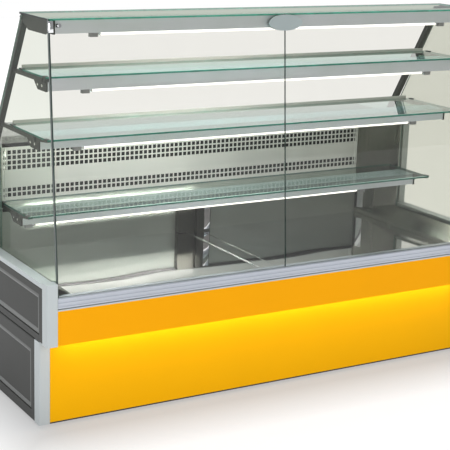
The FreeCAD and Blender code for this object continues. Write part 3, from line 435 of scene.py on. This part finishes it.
def finish_piece(name, bm, slot, body=CASE, look=None, mirror=False, flat=35):
    """Turn a bmesh into a named piece with its material, body and shading."""
    if mirror:
        kept = list(bm.verts)
        copy = bmesh.ops.duplicate(bm, geom=kept + list(bm.edges) + list(bm.faces))["geom"]
        verts = [item for item in copy if isinstance(item, bmesh.types.BMVert)]
        faces = [item for item in copy if isinstance(item, bmesh.types.BMFace)]
        bmesh.ops.scale(bm, vec=(-1, 1, 1), verts=verts)
        bmesh.ops.reverse_faces(bm, faces=faces)
    bmesh.ops.recalc_face_normals(bm, faces=bm.faces)
    mesh = bpy.data.meshes.new(name)
    bm.to_mesh(mesh)
    bm.free()
    made = bpy.data.objects.new(name, mesh)
    scene.collection.objects.link(made)
    mesh.materials.append(look or MATERIALS[slot])
    for polygon in mesh.polygons:
        polygon.use_smooth = True
    mesh.set_sharp_from_angle(angle=math.radians(flat))
    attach(made, body)


def add_screw(bm, centre, axis, radius=4 * MM, height=2.2 * MM):
    """A pan-head screw: domed head with a sunk round recess, standing on a face."""
    profile = [(radius, 0), (radius, height * 0.45), (radius * 0.85, height * 0.85),
               (radius * 0.5, height), (radius * 0.42, height), (radius * 0.3, height * 0.45),
               (radius * 0.05, height * 0.4)]
    add_turned(bm, profile, centre, axis, 16)


# ---------------------------------------------------------------- the small parts

SHELVES = ("top", "upper", "middle", "lower")


def profile_box(level):
    """Lowest and highest corners of a shelf's light profile."""
    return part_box(f"light_profile_{level}")


def cap_screws():
    """Two screws in each dark end of the light profiles."""
    bm = bmesh.new()
    cap_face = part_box("profile_end_caps")[1].x
    for level in SHELVES[1:]:
        low, high = profile_box(level)
        face = high.x + 6 * MM
        for share in (0.3, 0.68):
            depth = low.y + (high.y - low.y) * share
            add_screw(bm, (min(face, cap_face), depth, low.z + 15 * MM), (1, 0, 0), 5 * MM)
    finish_piece("cap_screws", bm, "bright_chrome", mirror=True)


def shelf_wedges():
    """Dark wedges under the end edges of each shelf, from the profile's end to its corner."""
    bm = bmesh.new()
    for level in SHELVES[1:]:
        low, high = profile_box(level)
        glass_low, glass_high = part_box(f"shelf_glass_{level}")
        under = glass_low.z
        front = glass_low.y + 2 * MM
        back = low.y + 14 * MM
        add_prism(bm, [(front, under - 2 * MM), (front, under - GAP),
                       (back, under - GAP), (back, under - 15 * MM),
                       (back - 12 * MM, under - 14 * MM)],
                  high.x - 4 * MM, glass_high.x)
    finish_piece("shelf_wedges", bm, "dark_metal", mirror=True)


def shelf_clips():
    """Small clips that hold each shelf glass to its arms, near the back and front corners."""
    bm = bmesh.new()
    thick = 2 * MM
    for level in SHELVES[1:]:
        low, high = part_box(f"shelf_glass_{level}")
        for start in (high.y - 34 * MM, low.y + 3 * MM):
            out, inside = high.x + thick, high.x - 9 * MM
            outline = [(out, low.z), (out, high.z + thick), (inside, high.z + thick),
                       (inside, high.z + 0.2 * MM), (high.x + 0.2 * MM, high.z + 0.2 * MM),
                       (high.x + 0.2 * MM, low.z)]
            add_prism(bm, outline, start, start + 20 * MM, "Y")
    finish_piece("shelf_clips", bm, "dark_metal", mirror=True)


def lean_matrix():
    """From a frame at the foot of the panes' outer face, with its z up the glass.

    With it come the heights up the glass where the rail ends and where the pane ends.
    """
    pane_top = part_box("front_pane_left")[1].z
    rail_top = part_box("glass_clamp_rail")[1].z
    mesh = NODES["front_pane_left"].data
    face = max(mesh.polygons, key=lambda polygon: (-polygon.normal.y, polygon.area))
    up = Vector((1, 0, 0)).cross(face.normal).normalized()
    up = up if up.z > 0 else -up
    inward = -face.normal.normalized()
    nearest = min(mesh.vertices, key=lambda vert: (round(vert.co.y, 5), vert.co.z)).co
    foot = Vector((0, nearest.y, nearest.z))
    length = (pane_top - foot.z) / up.z - 0.2 * MM
    start = (rail_top - foot.z) / up.z
    turn = Matrix((Vector((1, 0, 0)), inward, up)).transposed().to_4x4()
    return Matrix.Translation(foot) @ turn, start, length


def pane_seals():
    """Dark seals on the outer upright edges of the two front panes."""
    bm = bmesh.new()
    turn, start, length = lean_matrix()
    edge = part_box("front_pane_right")[1].x
    inner, outer = edge - 4 * MM, edge + 0.6 * MM
    touch, proud = 0.02 * MM, 1.2 * MM
    for near, far, left in ((-proud, -touch, inner),
                            (PANE_THICK + touch, PANE_THICK + proud, inner),
                            (-touch, PANE_THICK + touch, edge + touch)):
        add_box(bm, (left, near, start), (outer, far, length), turn=turn)
    finish_piece("pane_seals", bm, "black_plastic", GLASS, look=SEAL, mirror=True)


def dark_strips():
    """Dark strips on the top glass's ends, and painted shade along the air panel's top and over
    its air slot.
    """
    bm = bmesh.new()
    low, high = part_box("top_glass")
    for side in (-1, 1):
        edges = sorted((side * (high.x + 0.05 * MM), side * (high.x + 0.9 * MM)))
        add_box(bm, (edges[0], low.y + 2 * MM, low.z), (edges[1], high.y - 2 * MM, high.z))
    low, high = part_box("perforated_panel")
    # painted shade along the air panel's top: the shadow gap under the worktop's edge
    add_box(bm, (low.x + 2 * MM, low.y - 1.8 * MM, high.z - 14 * MM),
            (high.x - 2 * MM, low.y - GAP, high.z - 0.2 * MM), 0.4 * MM)
    # painted shade over the air panel's air slot
    add_box(bm, (low.x + 2 * MM, low.y - 2.4 * MM, low.z - 11 * MM),
            (high.x - 2 * MM, low.y - GAP, low.z + 1 * MM), 0.6 * MM)
    finish_piece("dark_and_shade_strips", bm, "black_plastic")


def panel_beads():
    """Moulded beads round the sunk fields of the end panels, lighter than the panels: painted
    highlight.
    """
    bm = bmesh.new()
    low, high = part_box("side_panel_right")
    lower_low, lower_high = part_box("lower_side_panels")
    cap_low, cap_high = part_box("side_cap_strips")
    sunk, rise, width = high.x - 5 * MM, 3.6 * MM, 17 * MM
    front, back, foot, top = low.y + 26 * MM, high.y - 40 * MM, low.z + 24 * MM, high.z - 40 * MM
    shoulder, step = cap_low.z - 24 * MM, cap_high.y + 40 * MM
    add_bead(bm, [(front, foot), (back, foot), (back, top), (step, top), (step, shoulder),
                  (front, shoulder)], sunk, rise, width)
    front, back = lower_low.y + 28 * MM, lower_high.y - 40 * MM
    foot, top = lower_low.z + 35 * MM, lower_high.z - 42 * MM
    add_bead(bm, [(front, foot), (back, foot), (back, top), (front, top)], sunk, rise, width)
    finish_piece("panel_beads", bm, "dark_moulding", look=LIT_BEAD, mirror=True, flat=50)


def lamp_ferrules():
    """Metal collars at both ends of each lamp tube."""
    bm = bmesh.new()
    profile = [(FERRULE * 0.96, 0), (FERRULE, 0.5 * MM), (FERRULE, 11 * MM),
               (FERRULE * 0.96, 11.5 * MM)]
    for level in SHELVES:
        low, high = lamp_ends(level)
        add_turned(bm, profile, low, (1, 0, 0), 24)
        add_turned(bm, profile, high, (-1, 0, 0), 24)
    finish_piece("lamp_ferrules", bm, "bright_chrome")


def lamp_ends(level):
    """Centres of the two ends of the lamp tube under a profile."""
    under = profile_box(level)[0].z
    spots = [vert.co for vert in NODES["light_tubes"].data.vertices
             if under - 20 * MM < vert.co.z < under]
    low = Vector((min(p.x for p in spots), 0, 0))
    high = Vector((max(p.x for p in spots), 0, 0))
    for end in (low, high):
        end.y = (min(p.y for p in spots) + max(p.y for p in spots)) / 2
        end.z = (min(p.z for p in spots) + max(p.z for p in spots)) / 2
    return low, high


def rear_screws():
    """Screws round the grille and the control box at the server's side."""
    bm = bmesh.new()
    low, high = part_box("rear_grille")
    columns = 7
    for index in range(columns):
        x = low.x + 30 * MM + (high.x - low.x - 60 * MM) * index / (columns - 1)
        for z in (low.z + 14 * MM, high.z - 16 * MM):
            add_screw(bm, (x, high.y, z), (0, 1, 0), 5 * MM)
    low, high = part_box("control_box")
    for x in (low.x + 9 * MM, high.x - 9 * MM):
        for z in (low.z + 9 * MM, high.z - 9 * MM):
            add_screw(bm, (x, high.y, z), (0, 1, 0), 3.5 * MM)
    finish_piece("rear_screws", bm, "bright_chrome")


def display_face():
    """Dark window with flush touch keys in the control box's recess."""
    low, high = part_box("control_box")
    face = high.y - 3 * MM
    left, foot = low.x + 24 * MM, low.z + 19 * MM
    bm = bmesh.new()
    add_box(bm, (left + 1 * MM, face - GAP, foot + 1 * MM),
            (left + 79 * MM, face + 1.6 * MM, foot + 35 * MM), 1 * MM)
    finish_piece("display_window", bm, "rocker_black")
    bm = bmesh.new()
    for index in range(4):
        add_turned(bm, [(4 * MM, 0), (4 * MM, 0.6 * MM), (3.4 * MM, 0.9 * MM)],
                   (left + (14 + 17 * index) * MM, face + 1.5 * MM, foot + 9 * MM), (0, 1, 0))
    finish_piece("touch_keys", bm, "grey_pipe")


def shelf_stops():
    """Low stops along the back edges of the two upper shelves."""
    bm = bmesh.new()
    for level in ("upper", "middle"):
        low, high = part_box(f"shelf_glass_{level}")
        outline = [(high.y + GAP, low.z - 3 * MM), (high.y + 3 * MM, low.z - 3 * MM),
                   (high.y + 3 * MM, high.z + 9 * MM), (high.y + 1.2 * MM, high.z + 10 * MM),
                   (high.y + GAP, high.z + 9 * MM)]
        add_prism(bm, outline, low.x + 12 * MM, high.x - 12 * MM)
    finish_piece("shelf_stops", bm, "light_trim", look=STOP)


def joint_beads():
    """Polished beads along both edges of the strip over the deck's joint."""
    low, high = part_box("deck_joint_strip")
    bm = bmesh.new()
    for edge in (low.x + 2 * MM, high.x - 5 * MM):
        outline = [(edge, high.z + 0.02 * MM), (edge + 3 * MM, high.z + 0.02 * MM),
                   (edge + 2.4 * MM, high.z + 1.1 * MM), (edge + 0.6 * MM, high.z + 1.1 * MM)]
        add_prism(bm, outline, low.y + 2 * MM, high.y - 30 * MM, "Y")
    finish_piece("joint_beads", bm, "bright_chrome")


def air_panel_posts():
    """Narrow uprights with hook slots at both ends of the air panel."""
    low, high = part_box("perforated_panel")
    bm = bmesh.new()
    out, inner = high.x - 2 * MM, high.x - 14 * MM
    front, back = low.y - 3 * MM, low.y - GAP
    middle, slot = (out + inner) / 2, 2 * MM
    top = high.z - 16 * MM
    add_box(bm, (inner, front, low.z + 2 * MM), (middle - slot, back, top), 0.3 * MM)
    add_box(bm, (middle + slot, front, low.z + 2 * MM), (out, back, top), 0.3 * MM)
    rung, pitch = 8 * MM, 24 * MM
    for index in range(int((top - low.z) / pitch)):
        foot = low.z + 4 * MM + index * pitch
        add_box(bm, (middle - slot, front, foot), (middle + slot, back, foot + rung), 0.3 * MM)
    finish_piece("air_panel_posts", bm, "panel_steel", mirror=True)


def column_plate():
    """Polished plate on the right flange of the well's middle upright."""
    low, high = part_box("centre_column")
    bm = bmesh.new()
    add_box(bm, (high.x - 28 * MM, low.y - 0.9 * MM, low.z + 4 * MM),
            (high.x - 3 * MM, low.y - GAP, high.z - 6 * MM), 0.3 * MM)
    finish_piece("column_plate", bm, "polished_stainless")


def corner_trim():
    """Dark strip of painted shade and a polished plate down each slanting end wall, next to the
    back wall.
    """
    low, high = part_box("inner_back_wall")
    start = Vector((high.x, low.y - 2 * MM))
    run = Vector(WALL_RUN)
    inward = Vector((run.y, -run.x)).normalized()
    # the dark strip is painted shade for the shadowed corner gap
    for name, slot, begin, end in (("corner_shade_strips", "black_plastic", 0.02, 0.055),
                                   ("corner_plates", "polished_stainless", 0.07, 0.21)):
        near, far = inward * 0.2 * MM, inward * 1.1 * MM
        outline = [start + run * begin + near, start + run * end + near,
                   start + run * end + far, start + run * begin + far]
        bm = bmesh.new()
        add_prism(bm, [(point.x, point.y) for point in outline], low.z + 36 * MM,
                  high.z - 2 * MM, "Z")
        finish_piece(name, bm, slot, mirror=True)


def post_covers():
    """Folded covers that wrap the slanted posts, a little wider than the posts themselves."""
    low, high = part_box("slanted_posts")
    corners = [vert.co for vert in NODES["slanted_posts"].data.vertices]
    foot = [co.y for co in corners if co.z < low.z + 1 * MM]
    head = [co.y for co in corners if co.z > high.z - 1 * MM]
    over = 3 * MM
    outline = [(min(foot) - over, low.z), (max(foot) + over, low.z),
               (max(head) + over, high.z), (min(head) - over, high.z)]
    bm = bmesh.new()
    add_prism(bm, outline, high.x - 20 * MM, high.x - GAP)
    finish_piece("post_covers", bm, "dark_metal", look=LOOK_OF["slanted_posts"], mirror=True)


def corner_clamps():
    """Bright plates that clamp the upper outer corners of the front panes."""
    turn, _, length = lean_matrix()
    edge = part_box("front_pane_right")[1].x
    bm = bmesh.new()
    add_box(bm, (edge - 15 * MM, -2.6 * MM, length - 42 * MM),
            (edge + 0.8 * MM, -GAP, length - 6 * MM), 0.6 * MM, turn=turn)
    add_box(bm, (edge - 13 * MM, PANE_THICK + GAP, length - 40 * MM),
            (edge + 0.8 * MM, PANE_THICK + 2.4 * MM, length - 8 * MM), 0.6 * MM, turn=turn)
    finish_piece("corner_clamps", bm, "bright_chrome", GLASS, mirror=True)


def painted_edge_highlights():
    """Painted highlight: pale green strips behind the front edge of each horizontal glass, for
    the light gathered there.
    """
    bm = bmesh.new()
    for name in ("shelf_glass_upper", "shelf_glass_middle", "shelf_glass_lower", "top_glass"):
        low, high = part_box(name)
        level = low.z - 0.25 * MM if name == "top_glass" else high.z + 0.05 * MM
        add_box(bm, (low.x + 1.5 * MM, low.y + 1 * MM, level),
                (high.x - 1.5 * MM, low.y + 6.5 * MM, level + 0.2 * MM))
    finish_piece("painted_edge_highlights", bm, "clear_glass", look=EDGE_HIGHLIGHT)


def hole_shade_sheet():
    """Black ribbed sheet close behind the air panel: painted shade that darkens its holes."""
    low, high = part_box("perforated_panel")
    near = high.y + 3 * MM
    rib = 30 * MM
    count = int((high.x - low.x - 20 * MM) / rib)
    left = (low.x + high.x) / 2 - count * rib / 2
    line = []
    for index in range(count + 1):
        line.append((left + index * rib, near if index % 2 else near + 2 * MM))
    outline = line + [(x, y + 1.2 * MM) for x, y in reversed(line)]
    bm = bmesh.new()
    add_prism(bm, outline, low.z - 14 * MM, high.z - 4 * MM, "Z")
    finish_piece("hole_shade_sheet", bm, "black_plastic")


for make in (cap_screws, shelf_wedges, shelf_clips, pane_seals, dark_strips, panel_beads,
             lamp_ferrules, rear_screws, display_face, shelf_stops, joint_beads, air_panel_posts,
             column_plate, corner_trim, post_covers, corner_clamps, painted_edge_highlights, hole_shade_sheet):
    make()


# ---------------------------------------------------------------- floor, light, camera

FLOOR_HALF = 12.0
CASE_HALF = (("X", 0.9), ("Y", 0.45))
# SHADE_GLOW, the floor's glow next to the case, is a painted shadow; OPEN_GLOW is the glow
# further out.
SHADE_GLOW, OPEN_GLOW, FAR_GLOW = 0.45, 0.84, 0.08


def floor():
    """Plain pale floor, far larger than the case, which glows less close round it: a painted
    shadow at the case's foot.
    """
    mesh = bpy.data.meshes.new("floor")
    corners = [(-FLOOR_HALF, -FLOOR_HALF, 0), (FLOOR_HALF, -FLOOR_HALF, 0),
               (FLOOR_HALF, FLOOR_HALF, 0), (-FLOOR_HALF, FLOOR_HALF, 0)]
    mesh.from_pydata(corners, [], [(0, 1, 2, 3)])
    made = bpy.data.objects.new("floor", mesh)
    scene.collection.objects.link(made)
    pale = surface("studio_floor", (0.22, 0.22, 0.22), 0.8, grain=40, depth=1e-5, vary=0.01,
                   specular=0.1)
    tree = pale.node_tree
    shader = next(n for n in tree.nodes if n.type == "BSDF_PRINCIPLED")
    shader.inputs["Emission Color"].default_value = (1, 1, 1, 1)
    at = add(tree, "SeparateXYZ", {"Vector": place(tree)})
    beside = [math_node(tree, "SUBTRACT", math_node(tree, "ABSOLUTE", at.outputs[axis]), half)
              for axis, half in CASE_HALF]
    away = math_node(tree, "MAXIMUM", *beside)
    level = math_node(tree, "ADD", span(tree, away, SHADE_GLOW, OPEN_GLOW, 0.02, 0.28),
                      span(tree, away, 0.0, FAR_GLOW, 0.6, 3.0))
    tree.links.new(level, shader.inputs["Emission Strength"])
    mesh.materials.append(pale)


def area_light(name, location, aim, size, watts, colour=(1, 1, 1), spread=180):
    """A soft square or oblong lamp that looks at a point."""
    data = bpy.data.lights.new(name, "AREA")
    data.shape = "RECTANGLE"
    data.size, data.size_y = size
    data.energy = watts
    data.spread = math.radians(spread)
    data.color = colour
    made = bpy.data.objects.new(name, data)
    made.location = location
    made.rotation_euler = (Vector(aim) - Vector(location)).to_track_quat("-Z", "Y").to_euler()
    scene.collection.objects.link(made)


BACKDROP, ROOM, OVERHEAD = 1.0, 0.3, 0.5
LAMP_WATTS = {"top": 0.8, "upper": 0.8, "middle": 1.9, "lower": 2.6}
LAMP_AIM = {"top": (0.45, 170), "upper": (0.45, 170), "middle": (0.45, 170),
            "lower": (0.14, 21)}
LAMP_FROM, LAMP_TO = 0.08, 0.58     # the share of a tube's length that its lamp stands under
LAMP_OFFSET = (0, 8 * MM, -7 * MM)  # from the tube's middle line to the lamp
GLOW_WATTS = 0.62


def studio():
    """White backdrop behind, a dimmer room in front, and soft lamps above and in front."""
    world = bpy.data.worlds.new("studio")
    world.use_nodes = True
    tree = world.node_tree
    tree.nodes.clear()
    output = add(tree, "OutputWorld")
    seen = add(tree, "Background", {"Color": (1, 1, 1, 1), "Strength": BACKDROP})
    towards = add(tree, "SeparateXYZ", {"Vector": add(tree, "TexCoord").outputs["Generated"]})
    level = math_node(tree, "ADD", span(tree, towards.outputs["Y"], ROOM, BACKDROP, 0.0, 0.7),
                      span(tree, towards.outputs["Z"], 0.0, OVERHEAD, 0.35, 0.9))
    fill = add(tree, "Background", {"Color": (0.97, 0.99, 1.0, 1), "Strength": level})
    is_camera = add(tree, "LightPath").outputs["Is Camera Ray"]
    mixed = add(tree, "MixShader", {"Fac": is_camera, 1: fill.outputs[0], 2: seen.outputs[0]})
    tree.links.new(mixed.outputs[0], output.inputs["Surface"])
    scene.world = world
    area_light("top_light", (0.4, 2.3, 4.0), (0, 0, 0.4), (3.4, 1.8), 165)
    area_light("front_light", (-1.3, -4.6, 1.6), (0, 0, 0.6), (3.0, 1.8), 62)
    for level, watts in LAMP_WATTS.items():
        low, high = lamp_ends(level)
        middle = low.lerp(high, (LAMP_FROM + LAMP_TO) / 2) + Vector(LAMP_OFFSET)
        drop, spread = LAMP_AIM[level]
        length = (high.x - low.x) * (LAMP_TO - LAMP_FROM)
        area_light(f"lamp_{level}", middle, middle + Vector((0, 1, -drop)), (length, 6 * MM),
                   watts, (1, 0.99, 0.96), spread)
    under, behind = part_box("upper_front_panel")[0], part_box("lower_front_panel")[0]
    area_light("band_glow", (0, under.y + 12 * MM, under.z - 2 * MM),
               (0, behind.y, under.z - 120 * MM), (1.7, 16 * MM), GLOW_WATTS, (1, 0.95, 0.7))
    scene.view_settings.view_transform = "Standard"
    scene.cycles.transparent_max_bounces = 40


LENS, SENSOR = 105.47, 36.0
CAMERA_AT = (-2.484, -4.179, 1.755)
YAW, PITCH, ROLL = 0.5412, 0.2513, 0.0334


def camera():
    """The camera, from where it stands and how it is turned."""
    data = bpy.data.cameras.new("camera")
    data.lens, data.sensor_width = LENS, SENSOR
    data.clip_start, data.clip_end = 0.1, 60.0
    right = Vector((math.cos(YAW), -math.sin(YAW), 0))
    forward = Vector((math.sin(YAW) * math.cos(PITCH), math.cos(YAW) * math.cos(PITCH),
                      -math.sin(PITCH)))
    up = right.cross(forward)
    across = math.cos(ROLL) * right + math.sin(ROLL) * up
    above = math.cos(ROLL) * up - math.sin(ROLL) * right
    turn = Matrix((across, above, -forward)).transposed().to_4x4()
    made = bpy.data.objects.new("camera", data)
    made.matrix_world = Matrix.Translation(CAMERA_AT) @ turn
    scene.collection.objects.link(made)
    scene.camera = made


floor()
studio()
camera()
